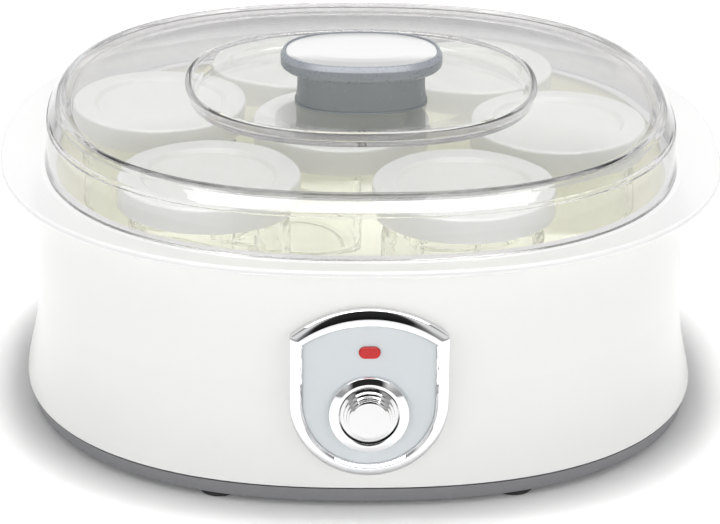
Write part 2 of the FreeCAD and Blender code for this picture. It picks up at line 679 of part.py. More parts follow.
def reflector_plate():
    """Plated steel sheet that holds the heating cord up, with a hole for the thermostat."""
    low = REFLECTOR_TOP - REFLECTOR
    sheet = oval_solid([[(REFLECTOR_OVAL, REFLECTOR_TOP), (REFLECTOR_OVAL, low)]])
    for x, y in four_ways(HEATER_SCREW_SPOT):
        sheet = sheet.cut(cylinder(1.8, x, y, 0, 40))
    for x, y in four_ways(BASE_SCREW_SPOT):
        sheet = sheet.cut(cylinder(BOSS_RADIUS + 0.5, x, y, 0, 40))
    return sheet.cut(cylinder(THERMOSTAT_RADIUS + 1.5, 0, 0, 0, 40))


def heater_screws():
    screws = []
    low = REFLECTOR_TOP - REFLECTOR
    for x, y in four_ways(HEATER_SCREW_SPOT):
        head = cylinder(3.2, x, y, low - 2.0, low)
        shank = cylinder(SCREW_SHANK, x, y, low, JAR_FLOOR - BOWL_WALL - 0.5)
        screws.append(fused([head, shank]))
    return Part.Compound(screws)


def thermostat():
    """Round bimetal cut-out held against the spreader, with two side blades."""
    top = JAR_FLOOR - BOWL_WALL - 0.1 - SPREADER
    can = cylinder(THERMOSTAT_RADIUS, 0, 0, THERMOSTAT_FOOT + 3, top)
    base = cylinder(THERMOSTAT_RADIUS + 0.6, 0, 0, THERMOSTAT_FOOT, THERMOSTAT_FOOT + 3)
    blades = [block((side * 12 - 4, side * 12 + 4), (-2, 2), (THERMOSTAT_FOOT + 1, THERMOSTAT_FOOT + 1.8))
              for side in (-1, 1)]
    return fused([can, base] + blades)


def thermostat_clip():
    """Sprung steel strap under the thermostat, riveted to the reflector at both ends."""
    low = REFLECTOR_TOP - REFLECTOR
    foot = THERMOSTAT_FOOT - 0.05
    strap = [
        block((-4, 4), (-16, 16), (foot - 0.8, foot)),
        block((-4, 4), (-16.8, -16), (foot - 0.8, low - 0.05)),
        block((-4, 4), (16, 16.8), (foot - 0.8, low - 0.05)),
        block((-4, 4), (-24, -16), (low - 0.85, low - 0.05)),
        block((-4, 4), (16, 24), (low - 0.85, low - 0.05)),
    ]
    return fused(strap)


def thermal_fuse():
    """Sleeved one-shot fuse under the reflector."""
    z = REFLECTOR_TOP - REFLECTOR - 2.6
    return Part.makeCylinder(2.5, 16, Vec(26, -8, z), Vec(0, 1, 0))


def terminal_block():
    """Three-way screw terminal on the base floor near the cord inlet."""
    low = FOOT_HEIGHT + BASE_FLOOR + 0.05
    body = block((-15, 15), (76, 92), (low, low + 9))
    for i in (-1, 0, 1):
        ridge = Part.makeCylinder(3.6, 16, Vec(i * 10, 76, low + 9), Vec(0, 1, 0))
        body = body.fuse(ridge)
        body = body.cut(cylinder(1.8, i * 10, 80, low + 10, low + 20))
        body = body.cut(cylinder(1.8, i * 10, 88, low + 10, low + 20))
    return body.removeSplitter()


def leads():
    """Insulated wires inside the base, each along its own route."""
    entry = 75.6
    block_z = FOOT_HEIGHT + BASE_FLOOR + 6
    blade_y = -101.0
    blade_tip = 22.6
    return {
        "lead_live": tube([
            Vec(-10, entry, block_z), Vec(-14, 52, 9), Vec(-30, 20, 8.6), Vec(-30, -20, 8.6),
            Vec(-22, -56, 9), Vec(-8, -82, 9.5), Vec(-4.5, -96, 12), Vec(-4.5, blade_y, blade_tip),
        ], 0.9),
        "lead_switched": tube([
            Vec(17.0, -0.5, THERMOSTAT_FOOT + 1.4), Vec(23, -8, 11), Vec(24, -34, 9), Vec(18, -62, 9),
            Vec(7, -84, 9.5), Vec(4.5, -96, 12), Vec(4.5, blade_y, blade_tip),
        ], 0.9),
        "lead_neutral": tube([
            Vec(10, entry, block_z), Vec(11, 66, 11), Vec(9, 59, 14), Vec(7.6, 53.5, 17),
        ], 0.9),
    }


# ================================================================== write parts
def main():
    os.makedirs("parts", exist_ok=True)
    shell_block = oval_solid(shell_side(0.05))
    nodes = {
        "base_cover": base_cover(),
        "base_screws": base_screws(),
        "body_shell": body_shell(),
        "inner_bowl": inner_bowl(),
        "cord_gland": cord_gland(shell_block),
        "lid_cover": lid_cover(),
        "knob_stem": knob_stem(),
        "knob_cap": knob_cap(),
        "knob_top_disc": knob_top_disc(),
        "knob_screw": knob_screw(),
        "panel_plate": panel_plate(),
        "panel_bezel": panel_bezel(shell_block),
        "led_lens": led_lens(),
        "indicator_lamp": indicator_lamp(),
        "button_ring": button_ring(),
        "push_button": push_button(),
        "button_spring": button_spring(),
        "switch_bracket": switch_bracket(),
        "switch_screws": switch_screws(),
        "switch_body": switch_body(),
        "heat_spreader": heat_spreader(),
        "heating_element": heating_element(),
        "reflector_plate": reflector_plate(),
        "heater_screws": heater_screws(),
        "thermostat": thermostat(),
        "thermostat_clip": thermostat_clip(),
        "thermal_fuse": thermal_fuse(),
        "terminal_block": terminal_block(),
    }
    corners = ("back_left", "front_left", "back_right", "front_right")
    for corner in corners:
        x = FOOT_SPOT[0] if "right" in corner else -FOOT_SPOT[0]
        y = FOOT_SPOT[1] if "back" in corner else -FOOT_SPOT[1]
        nodes["foot_" + corner] = rubber_foot(x, y)
    for spot, (x, y) in JAR_SPOTS.items():
        nodes["jar_" + spot] = moved(jar_glass(), x, y, JAR_FLOOR + SEAT_GAP)
        nodes["jar_lid_" + spot] = moved(jar_lid(), x, y, JAR_FLOOR + SEAT_GAP)
    nodes.update(leads())
    for name, shape in nodes.items():
        shape.exportStep("parts/" + name + ".step")
        solids = len(shape.Solids)
        print(name, "solids", solids, "valid", shape.isValid(), "volume", round(shape.Volume))


main()
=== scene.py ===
"""Looks for the yogurt maker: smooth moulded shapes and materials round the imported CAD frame.

Profiles are in millimetres from the row's origin and become metres in one place, to_mesh().
Plans are rounded ovals named by their half-width; the half-depth is always OVAL_SLIMMER less.
"""
import math

import bmesh
import bpy
from mathutils import Matrix, Vector


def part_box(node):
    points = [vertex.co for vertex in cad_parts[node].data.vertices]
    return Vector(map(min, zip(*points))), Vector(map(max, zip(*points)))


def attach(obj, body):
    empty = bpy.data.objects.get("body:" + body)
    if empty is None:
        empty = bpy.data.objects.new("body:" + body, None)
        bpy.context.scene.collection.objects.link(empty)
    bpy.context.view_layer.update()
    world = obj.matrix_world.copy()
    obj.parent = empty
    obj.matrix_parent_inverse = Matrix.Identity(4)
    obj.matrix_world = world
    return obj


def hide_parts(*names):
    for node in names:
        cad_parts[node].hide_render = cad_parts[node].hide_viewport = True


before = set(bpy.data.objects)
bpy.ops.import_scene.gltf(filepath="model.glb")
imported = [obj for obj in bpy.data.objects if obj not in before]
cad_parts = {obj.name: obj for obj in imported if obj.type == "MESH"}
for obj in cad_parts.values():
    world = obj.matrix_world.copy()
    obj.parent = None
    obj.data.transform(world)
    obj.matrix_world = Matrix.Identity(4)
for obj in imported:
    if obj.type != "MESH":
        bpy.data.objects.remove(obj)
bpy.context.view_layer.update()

MM = 0.001

# ------------------------------------------------------------------ plan shape
OVAL_SLIMMER = 8.6
OVAL_POWER = 2.35
RING = 288                    # points round a big oval

# ---------------------------------------------------------- lid and knob, mm
LID_FOOT = 91.38
WELL_FLOOR = 110.3
STEM, KNOB = 24.2, 30.0
CAP_LOW, CAP_TOP = 124.05, 130.4

# --------------------------------------------------------------- panel, mm
PANEL_LEAN, PANEL_Y, PANEL_Z = 2.5, -114.4, 44.3
PANEL_HALF_WIDTH, PANEL_HALF_HEIGHT, PANEL_CORNER = 27.8, 31.5, 20.8
PANEL_ROUNDING = 2.0
BUTTON_Z = -8.0

JAR_NODES = sorted(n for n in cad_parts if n.startswith("jar_") and not n.startswith("jar_lid_"))


# ================================================================ mesh helpers
def to_mesh(name, rings, ends=(True, True), sharp=35):
    """A smooth skin through rings of equal point counts, in mm, with flat or open ends."""
    count = len(rings[0])
    verts = [(x * MM, y * MM, z * MM) for ring in rings for x, y, z in ring]
    faces = []
    for r in range(len(rings) - 1):
        low, high = r * count, (r + 1) * count
        for i in range(count):
            j = (i + 1) % count
            faces.append((low + i, low + j, high + j, high + i))
    if ends[0]:
        faces.append(tuple(reversed(range(count))))
    if ends[1]:
        faces.append(tuple(range(len(verts) - count, len(verts))))
    mesh = bpy.data.meshes.new(name)
    mesh.from_pydata(verts, [], faces)
    work = bmesh.new()
    work.from_mesh(mesh)
    bmesh.ops.recalc_face_normals(work, faces=work.faces)
    work.to_mesh(mesh)
    work.free()
    mesh.shade_smooth()
    mesh.set_sharp_from_angle(angle=math.radians(sharp))
    piece = bpy.data.objects.new(name, mesh)
    bpy.context.scene.collection.objects.link(piece)
    return piece


def rounded(corners, steps=6):
    """A profile whose corners (u, v, radius) are rounded off by about that radius."""
    points = []
    for i, corner in enumerate(corners):
        here = Vector(corner[:2])
        radius = corner[2] if len(corner) > 2 else 0
        if radius == 0 or i in (0, len(corners) - 1):
            points.append(tuple(here))
            continue
        back = Vector(corners[i - 1][:2]) - here
        ahead = Vector(corners[i + 1][:2]) - here
        half = back.angle(ahead) / 2
        trim = min(radius / math.tan(half), 0.48 * min(back.length, ahead.length))
        start = here + back.normalized() * trim
        end = here + ahead.normalized() * trim
        for k in range(steps + 1):
            t = k / steps
            points.append(tuple((1 - t) ** 2 * start + 2 * t * (1 - t) * here + t * t * end))
    return points


def oval_ring(half_width, z):
    """One level ring of the rounded oval, in mm."""
    half_depth = half_width - OVAL_SLIMMER
    ring = []
    for i in range(RING):
        angle = 2 * math.pi * i / RING
        x_share = abs(math.cos(angle) / half_width) ** OVAL_POWER
        y_share = abs(math.sin(angle) / half_depth) ** OVAL_POWER
        reach = (x_share + y_share) ** (-1 / OVAL_POWER)
        ring.append((reach * math.cos(angle), reach * math.sin(angle), z))
    return ring


def oval_piece(name, profile):
    """A solid from (half-width, z) pairs."""
    return to_mesh(name, [oval_ring(a, z) for a, z in profile])


def turned_piece(name, profile, centre=(0, 0, 0), count=128):
    """A solid of revolution; the profile runs from the axis out and back, (radius, z)."""
    x0, y0, z0 = centre
    turns = [2 * math.pi * i / count for i in range(count)]
    rings = [
        [(x0 + max(r, 0.01) * math.cos(t), y0 + max(r, 0.01) * math.sin(t), z0 + z) for t in turns]
        for r, z in profile
    ]
    return to_mesh(name, rings)


def on_panel(piece, spin=None):
    """Lean a piece that was built in the panel's own frame onto the panel's face."""
    place = Matrix.Translation((0, PANEL_Y * MM, PANEL_Z * MM))
    place = place @ Matrix.Rotation(math.radians(-PANEL_LEAN), 4, "X")
    if spin is not None:
        place = place @ spin
    piece.data.transform(place)
    return piece


def stands_for(piece, body, slot, material, *nodes):
    """Hands a finished piece to its body, in place of its CAD nodes."""
    piece.data.materials.append(material)
    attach(piece, body)
    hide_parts(*nodes)


# =================================================================== materials
def new_material(name):
    material = bpy.data.materials.new(name)
    material.use_nodes = True
    tree = material.node_tree
    place = tree.nodes.new("ShaderNodeTexCoord")
    return material, tree, tree.nodes["Principled BSDF"], place.outputs["Object"]


def noise(tree, place, scale, detail=3.0):
    """A 0..1 noise value; scale is in waves a metre."""
    node = tree.nodes.new("ShaderNodeTexNoise")
    node.inputs["Scale"].default_value = scale
    node.inputs["Detail"].default_value = detail
    tree.links.new(place, node.inputs["Vector"])
    return node.outputs["Fac"]


def between(tree, factor, low, high):
    """Maps a 0..1 texture value to low..high."""
    node = tree.nodes.new("ShaderNodeMapRange")
    node.inputs["To Min"].default_value = low
    node.inputs["To Max"].default_value = high
    tree.links.new(factor, node.inputs["Value"])
    return node.outputs["Result"]


def colour_mix(tree, blend="MIX"):
    """A colour mixing node, with its two colour inputs and its colour output."""
    node = tree.nodes.new("ShaderNodeMix")
    node.data_type = "RGBA"
    node.blend_type = blend
    first, second = [s for s in node.inputs if s.type == "RGBA"]
    result = [s for s in node.outputs if s.type == "RGBA"][0]
    return node, first, second, result


def tinted(tree, factor, low, high):
    """Fades from one colour to the other along a 0..1 texture value."""
    node, first, second, result = colour_mix(tree)
    first.default_value = (*low, 1)
    second.default_value = (*high, 1)
    tree.links.new(factor, node.inputs["Factor"])
    return result


def bumped(tree, shader, height, strength, distance):
    """Fine relief; distance is in metres."""
    node = tree.nodes.new("ShaderNodeBump")
    node.inputs["Strength"].default_value = strength
    node.inputs["Distance"].default_value = distance
    tree.links.new(height, node.inputs["Height"])
    tree.links.new(node.outputs["Normal"], shader.inputs["Normal"])


def moulded(name, first, second, gloss, grain=900.0, bump=0.12, coat=0.0):
    """Moulded plastic: faint flow tint, fine grain and a slightly uneven gloss."""
    material, tree, shader, place = new_material(name)
    fine = noise(tree, place, grain)
    colour = tinted(tree, noise(tree, place, 14.0), first, second)
    tree.links.new(colour, shader.inputs["Base Color"])
    tree.links.new(between(tree, fine, gloss - 0.04, gloss + 0.04), shader.inputs["Roughness"])
    bumped(tree, shader, fine, bump, 0.00006)
    shader.inputs["IOR"].default_value = 1.47
    shader.inputs["Coat Weight"].default_value = coat
    shader.inputs["Coat Roughness"].default_value = 0.06
    return material


def tint_and_painted_light_below(material, height, blur, colour):
    """Another colour of the same plastic below a height, in metres, fading over blur; on the bowl it is
    partly an ivory tint and partly painted light, a painted lift that makes the inside lighter than the
    flange.
    """
    tree = material.node_tree
    shader = tree.nodes["Principled BSDF"]
    before = shader.inputs["Base Color"].links[0].from_socket
    place = tree.nodes.new("ShaderNodeTexCoord")
    split = tree.nodes.new("ShaderNodeSeparateXYZ")
    tree.links.new(place.outputs["Object"], split.inputs["Vector"])
    depth = tree.nodes.new("ShaderNodeMapRange")
    depth.inputs["From Min"].default_value = height + blur
    depth.inputs["From Max"].default_value = height - blur
    tree.links.new(split.outputs["Z"], depth.inputs["Value"])
    node, first, second, result = colour_mix(tree)
    tree.links.new(before, first)
    second.default_value = (*colour, 1)
    tree.links.new(depth.outputs["Result"], node.inputs["Factor"])
    tree.links.new(result, shader.inputs["Base Color"])


def metal(name, colour, gloss, stretch=(1.0, 1.0, 1.0), share=1.0):
    """Bright metal with fine polishing marks, or long brush lines where it is stretched.

    A share under 1 is a thin plating that lets a pale ground show through.
    """
    material, tree, shader, place = new_material(name)
    mapping = tree.nodes.new("ShaderNodeMapping")
    mapping.inputs["Scale"].default_value = stretch
    tree.links.new(place, mapping.inputs["Vector"])
    marks = noise(tree, mapping.outputs["Vector"], 420.0)
    shade = [c * 0.96 for c in colour]
    tree.links.new(tinted(tree, marks, colour, shade), shader.inputs["Base Color"])
    tree.links.new(between(tree, marks, gloss, gloss + 0.04), shader.inputs["Roughness"])
    bumped(tree, shader, marks, 0.04, 0.00002)
    shader.inputs["Metallic"].default_value = share
    return material


def lets_light_pass(tree, shader, passes):
    """Lamp light and soft light go straight through, dimmed to the colour passes."""
    ray = tree.nodes.new("ShaderNodeLightPath")
    through = tree.nodes.new("ShaderNodeBsdfTransparent")
    through.inputs["Color"].default_value = (*passes, 1)
    last = shader.outputs["BSDF"]
    for kind in ("Is Diffuse Ray", "Is Shadow Ray"):
        mix = tree.nodes.new("ShaderNodeMixShader")
        tree.links.new(ray.outputs[kind], mix.inputs["Fac"])
        tree.links.new(last, mix.inputs[1])
        tree.links.new(through.outputs["BSDF"], mix.inputs[2])
        last = mix.outputs["Shader"]
    tree.links.new(last, tree.nodes["Material Output"].inputs["Surface"])


def clear(name, tint, ior, passes, gloss):
    """Clear glass or plastic with the faint swirl of its moulding."""
    material, tree, shader, place = new_material(name)
    swirl = noise(tree, place, 9.0, 1.0)
    colour = tinted(tree, swirl, tint, [c * 0.985 for c in tint])
    tree.links.new(colour, shader.inputs["Base Color"])
    tree.links.new(between(tree, swirl, gloss, gloss + 0.015), shader.inputs["Roughness"])
    bumped(tree, shader, swirl, 0.05, 0.0002)
    shader.inputs["Transmission Weight"].default_value = 1.0
    shader.inputs["IOR"].default_value = ior
    lets_light_pass(tree, shader, (passes, passes, passes))
    return material


def milky(name, first, second, gloss, depth):
    """Translucent plastic that light soaks into and partly through."""
    material = moulded(name, first, second, gloss, grain=600.0, bump=0.08)
    tree = material.node_tree
    shader = tree.nodes["Principled BSDF"]
    shader.inputs["Subsurface Weight"].default_value = 0.6
    shader.inputs["Subsurface Radius"].default_value = (1.0, 1.0, 0.95)
    shader.inputs["Subsurface Scale"].default_value = depth
    lets_light_pass(tree, shader, (0.95, 0.95, 0.94))
    return material


WHITE_SHELL = moulded("white_shell", (0.66, 0.66, 0.65), (0.68, 0.68, 0.67), 0.32, coat=0.2)
WHITE_BOWL = moulded("white_bowl", (0.66, 0.66, 0.66), (0.68, 0.68, 0.68), 0.24, coat=0.3)
# Below the flange the bowl is ivory and far lighter than its white (0.93 against 0.66): the tint is the
# plastic's own, the extra lightness is painted light against the shade inside the bowl.
tint_and_painted_light_below(WHITE_BOWL, height=0.0895, blur=0.0012, colour=(0.93, 0.925, 0.835))
BASE_GREY = moulded("base_grey", (0.175, 0.175, 0.185), (0.20, 0.20, 0.21), 0.42, grain=1400.0, bump=0.25)
RUBBER = moulded("foot_rubber", (0.015, 0.015, 0.015), (0.03, 0.03, 0.03), 0.75, grain=1800.0, bump=0.5)
CLEAR_LID = clear("lid_clear", (0.80, 0.795, 0.80), 1.5, 0.99, 0.02)
KNOB_GREY = moulded("knob_grey", (0.215, 0.23, 0.255), (0.235, 0.25, 0.275), 0.28, bump=0.02)
STEM_GREY = moulded("stem_grey", (0.19, 0.205, 0.22), (0.21, 0.225, 0.24), 0.26, bump=0.02)
CHROME = metal("bright_chrome", (0.78, 0.78, 0.79), 0.02)
KNOB_CHROME = metal("knob_disc_chrome", (0.84, 0.84, 0.84), 0.06, share=0.6)
SILVER = metal("button_silver", (0.66, 0.66, 0.66), 0.04)
PANEL = moulded("panel_satin", (0.50, 0.53, 0.55), (0.53, 0.56, 0.575), 0.38, grain=1600.0, bump=0.1)
RED_LENS = moulded("red_lens", (0.42, 0.005, 0.005), (0.47, 0.008, 0.008), 0.3)
BLACK = moulded("black_plastic", (0.02, 0.02, 0.02), (0.035, 0.035, 0.035), 0.5, bump=0.3)
STEEL = metal("zinc_steel", (0.62, 0.62, 0.60), 0.28)
SHEET_STEEL = metal("galvanised_sheet", (0.66, 0.67, 0.66), 0.32, (0.04, 1.0, 1.0))
ALUMINIUM = metal("mill_aluminium", (0.78, 0.78, 0.78), 0.30, (0.04, 1.0, 1.0))
SILICONE = moulded("heater_silicone", (0.60, 0.58, 0.52), (0.66, 0.64, 0.58), 0.6, bump=0.3)
SLEEVE = moulded("woven_sleeve", (0.68, 0.66, 0.58), (0.74, 0.72, 0.64), 0.8, grain=2500.0, bump=0.8)
NYLON = moulded("natural_nylon", (0.70, 0.68, 0.58), (0.75, 0.73, 0.63), 0.45)
BROWN = moulded("lead_brown", (0.10, 0.035, 0.015), (0.13, 0.05, 0.02), 0.45)
RED = moulded("lead_red", (0.36, 0.01, 0.01), (0.42, 0.02, 0.015), 0.45)
BLUE = moulded("lead_blue", (0.015, 0.07, 0.32), (0.02, 0.09, 0.38), 0.45)
JAR_GLASS = clear("jar_glass", (0.985, 0.99, 0.98), 1.3, 0.99, 0.01)
LAMP_GLASS = clear("lamp_glass", (0.95, 0.75, 0.68), 1.5, 0.9, 0.0)
JAR_LID = milky("jar_lid_milky", (0.69, 0.70, 0.68), (0.72, 0.73, 0.71), 0.3, 0.004)

CAD_MATERIALS = {
    "body_shell": WHITE_SHELL,
    "inner_bowl": WHITE_BOWL,
    "base_cover": BASE_GREY,
    "panel_plate": PANEL,
    "led_lens": RED_LENS,
    "indicator_lamp": LAMP_GLASS,
    "cord_gland": BLACK,
    "switch_body": BLACK,
    "switch_bracket": BLACK,
    "base_screws": STEEL,
    "knob_screw": STEEL,
    "switch_screws": STEEL,
    "heater_screws": STEEL,
    "button_spring": STEEL,
    "thermostat": STEEL,
    "thermostat_clip": SHEET_STEEL,
    "reflector_plate": SHEET_STEEL,
    "heat_spreader": ALUMINIUM,
    "heating_element": SILICONE,
    "thermal_fuse": SLEEVE,
    "terminal_block": NYLON,
    "lead_live": BROWN,
    "lead_switched": RED,
    "lead_neutral": BLUE,
    "foot_back_left": RUBBER,
    "foot_back_right": RUBBER,
    "foot_front_left": RUBBER,
    "foot_front_right": RUBBER,
}


def dress_cad():
    """Gives each CAD node that stays in view, or inside the base, its material."""
    for node, material in CAD_MATERIALS.items():
        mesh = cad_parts[node].data
        mesh.materials.clear()
        mesh.materials.append(material)


# ================================================================ lid and knob
def add_lid():
    """Clear cover: well, dome, raised shoulder and upright wall, then back underneath."""
    outside = [
        (20.0, WELL_FLOOR), (38.0, WELL_FLOOR + 0.5, 60), (51.0, WELL_FLOOR + 1.5, 60), (61.7, 113.1, 2.2),
        (62.9, 119.1, 1.3), (90.0, 115.65, 300), (106.9, 111.9, 1.2), (110.4, 114.55, 1.8),
        (112.8, 112.6, 3.0), (115.7, 108.3, 0.5), (115.8, 107.2, 0.2), (116.35, 107.0, 0.25),
        (116.4, 95.0, 20),
        (117.35, LID_FOOT, 0.2),
    ]
    inside = [
        (115.0, LID_FOOT, 0.2), (114.4, 95.0, 20), (113.9, 107.8, 0.6), (111.7, 110.9, 3.0),
        (110.1, 112.3, 1.0), (107.2, 110.0, 1.8), (90.0, 113.75, 300), (64.7, 117.05, 0.6),
        (63.5, 111.2, 3.0),
        (51.0, WELL_FLOOR - 0.5, 60), (38.0, WELL_FLOOR - 1.9, 60), (20.0, WELL_FLOOR - 2.4),
    ]
    cover = oval_piece("lid_skin", rounded(outside + inside, steps=8))
    stands_for(cover, "lid", "clear_lid", CLEAR_LID, "lid_cover")


def add_knob():
    foot = WELL_FLOOR + 0.1
    stem = oval_piece("knob_stem_skin", rounded([
        (STEM - 4.0, foot), (STEM + 0.45, foot, 0.1), (STEM + 0.45, foot + 0.8, 0.15),
        (STEM, foot + 1.0, 0.1),
        (STEM - 0.5, foot + 6.5, 30), (STEM - 0.4, CAP_LOW - 1.8, 6), (STEM + 0.1, CAP_LOW - 0.05, 0.0),
        (STEM - 4.0, CAP_LOW - 0.05),
    ]))
    stands_for(stem, "lid", "stem_grey", STEM_GREY, "knob_stem")
    cap = oval_piece("knob_cap_skin", rounded([
        (STEM - 6.0, CAP_LOW), (KNOB - 1.5, CAP_LOW, 0.1), (KNOB - 0.1, CAP_LOW + 1.2, 1.2),
        (KNOB - 0.05, CAP_TOP - 2.0, 1.0), (KNOB - 1.3, CAP_TOP, 0.5), (KNOB - 1.95, CAP_TOP, 0.15),
        (KNOB - 2.05, CAP_TOP - 0.9, 0.1), (STEM - 6.0, CAP_TOP - 0.9),
    ]))
    stands_for(cap, "lid", "knob_grey", KNOB_GREY, "knob_cap")
    edge = KNOB - 2.15
    disc = oval_piece("knob_disc_skin", rounded([
        (10.0, CAP_TOP - 0.85), (edge, CAP_TOP - 0.85, 0.1), (edge, CAP_TOP - 0.45, 0.1),
        (26.6, CAP_TOP - 0.08, 6), (24.0, CAP_TOP + 0.26, 20), (21.0, CAP_TOP + 0.55, 30),
        (18.0, CAP_TOP + 0.74, 40), (14.0, CAP_TOP + 0.88, 40), (10.0, CAP_TOP + 0.94),
    ], steps=8))
    stands_for(disc, "lid", "bright_trim", KNOB_CHROME, "knob_top_disc")


# ======================================================================== jars
def add_jars():
    glass = rounded([
        (0, 1.2), (20.0, 1.2, 1.0), (22.0, 0, 0.5), (25.5, 0, 1.5), (28.9, 1.2, 3.0), (29.0, 9.0, 4.0),
        (29.0, 58.6, 6.0), (27.6, 63.6, 3.0), (27.6, 70.0, 0.5), (30.4, 70.4, 0.9), (30.4, 74.6, 1.2),
        (26.2, 74.6, 1.0), (26.0, 72.6, 2.0), (26.0, 62.6, 4.0), (26.6, 57.6, 4.0), (26.6, 4.0, 4.0),
        (0, 4.0),
    ])
    cover = rounded([
        (0, 75.4), (23.2, 75.4, 0.8), (24.6, 77.0, 0.8), (32.5, 77.0, 1.3), (32.35, 67.6, 0.3),
        (30.9, 67.6, 0.2), (30.9, 74.7, 0.4), (25.6, 74.7, 0.3), (25.6, 71.3, 0.3), (24.2, 71.3, 0.3),
        (24.2, 74.0, 0.4), (23.2, 73.8, 0.5), (0, 73.8),
    ])
    for node in JAR_NODES:
        spot = node[4:]
        low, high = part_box(node)
        centre = ((low[0] + high[0]) / 2 / MM, (low[1] + high[1]) / 2 / MM, low[2] / MM)
        jar = turned_piece("glass_" + spot, glass, centre)
        stands_for(jar, node, "jar_glass", JAR_GLASS, node)
        lid = turned_piece("cap_" + spot, cover, centre)
        stands_for(lid, "jar_lid_" + spot, "jar_lid_plastic", JAR_LID, "jar_lid_" + spot)


# =============================================================== control panel
def shield_ring(inset, top_inset, proud):
    """The panel's outline: arched top, rounded corners, upright sides, half-round foot."""
    half = PANEL_HALF_WIDTH - inset
    foot = PANEL_HALF_WIDTH - PANEL_HALF_HEIGHT
    top = PANEL_HALF_HEIGHT - top_inset
    rise = top - PANEL_CORNER + 0.72 * inset
    radius = (half ** 2 + rise ** 2) / (2 * rise)
    spoke = half - PANEL_ROUNDING
    lift = math.sqrt((radius - PANEL_ROUNDING) ** 2 - spoke ** 2)
    lean = math.atan2(lift, spoke)
    centre = top - radius
    right = [(spoke + PANEL_ROUNDING * math.cos(lean * k / 8),
              centre + lift + PANEL_ROUNDING * math.sin(lean * k / 8)) for k in range(9)]
    arch = [(radius * math.cos(lean + (math.pi - 2 * lean) * k / 48),
             centre + radius * math.sin(lean + (math.pi - 2 * lean) * k / 48)) for k in range(1, 48)]
    left = [(-x, z) for x, z in reversed(right)]
    side_top = right[0][1]
    down = [(-half, side_top + (foot - side_top) * k / 12) for k in range(1, 12)]
    half_turn = [math.pi * k / 72 for k in range(73)]
    bowl = [(-half * math.cos(turn), foot - half * math.sin(turn)) for turn in half_turn]
    up = [(half, foot + (side_top - foot) * k / 12) for k in range(1, 12)]
    return [(x, -proud, z) for x, z in right + arch + left + down + bowl + up]


def add_bezel():
    """Bright band that rises inwards, then a slope down to the plate."""
    stations = [
        (1.2, 1.2, -4.4), (0.0, 0.0, -4.4), (0.0, 0.0, 0.15), (0.08, 0.12, 0.42), (0.3, 0.45, 0.7),
        (0.72, 1.15, 1.03), (1.25, 2.0, 1.3), (1.9, 3.0, 1.54), (2.5, 4.0, 1.7), (3.0, 4.8, 1.78),
        (3.4, 5.5, 1.8), (3.65, 6.0, 1.72), (3.8, 6.15, 1.58), (4.5, 6.55, 0.98), (4.6, 6.65, 0.85),
        (4.6, 6.65, -1.1), (1.2, 1.2, -1.1), (1.2, 1.2, -4.4),
    ]
    band = to_mesh("bezel_skin", [shield_ring(*s) for s in stations], ends=(False, False), sharp=40)
    weld(band)
    stands_for(on_panel(band), "base", "bright_trim", CHROME, "panel_bezel")


def weld(piece):
    """Join the first and last rings of a skin that closes on itself."""
    work = bmesh.new()
    work.from_mesh(piece.data)
    bmesh.ops.remove_doubles(work, verts=work.verts, dist=1e-7)
    bmesh.ops.recalc_face_normals(work, faces=work.faces)
    work.to_mesh(piece.data)
    work.free()


def add_button():
    spin = Matrix.Translation((0, 0, BUTTON_Z * MM)) @ Matrix.Rotation(math.radians(90), 4, "X")
    ring = turned_piece("ring_skin", rounded([
        (10.65, -4.9), (10.65, 2.25, 0.15), (11.8, 2.45, 0.4), (13.95, 1.75, 0.15), (14.2, 1.3, 0.15),
        (14.2, 0.06, 0.1), (12.3, 0.06, 0.1), (12.3, -4.9, 0.1), (10.65, -4.9),
    ]))
    stands_for(on_panel(ring, spin), "base", "bright_trim", CHROME, "button_ring")
    button = turned_piece("button_skin", rounded([
        (0, -13.3), (2.6, -13.3, 0.1), (2.6, 0.3, 0.1), (8.6, 0.3, 0.1), (8.6, -6.5, 0.1), (11.5, -6.5, 0.1),
        (11.5, -5.45, 0.1), (10.15, -5.45, 0.1), (10.15, 1.55, 0.1), (8.95, 1.85, 0.1), (8.85, 3.15, 0.1),
        (8.0, 3.4, 0.1), (7.9, 4.7, 0.1), (7.3, 4.9, 0.1), (7.2, 6.15, 0.15), (6.5, 6.4, 0.2), (0, 6.4),
    ]))
    stands_for(on_panel(button, spin), "button", "button_silver", SILVER, "push_button")


# ======================================================================= scene
CAMERA_DISTANCE = 1.25
CAMERA_ASIDE = 0.0004
CAMERA_LIFT = math.radians(22.0)
CAMERA_SIDE = math.radians(-2.1)
CAMERA_ROLL = math.radians(0.72)
AIM_HEIGHT = 0.0449
STAND_HEIGHT = 0.070
LENS = 166.1                  # mm, on a 36 mm sensor

FLOOR_HALF = 3.0
LIGHT_BOUNCES = 32            # enough for light to cross the lid, a jar lid and the jars

# Studio surroundings: (upward part of the direction, grey level).
WALL_LEVELS = [(0.0, 0.40), (0.08, 0.42), (0.21, 0.88), (0.44, 0.92), (0.55, 0.32), (0.8, 0.40), (1.0, 0.5)]
# The dark gap that the bezel and the ring mirror as black arcs: its place, narrowing and fading edge.
GAP_PLACE = Vector((0.0, -0.97, 0.26))
GAP_NARROWING = (1.3, 1.0, 1.0)
GAP_LEVELS = [(0.90, 1.0), (0.95, 0.03)]


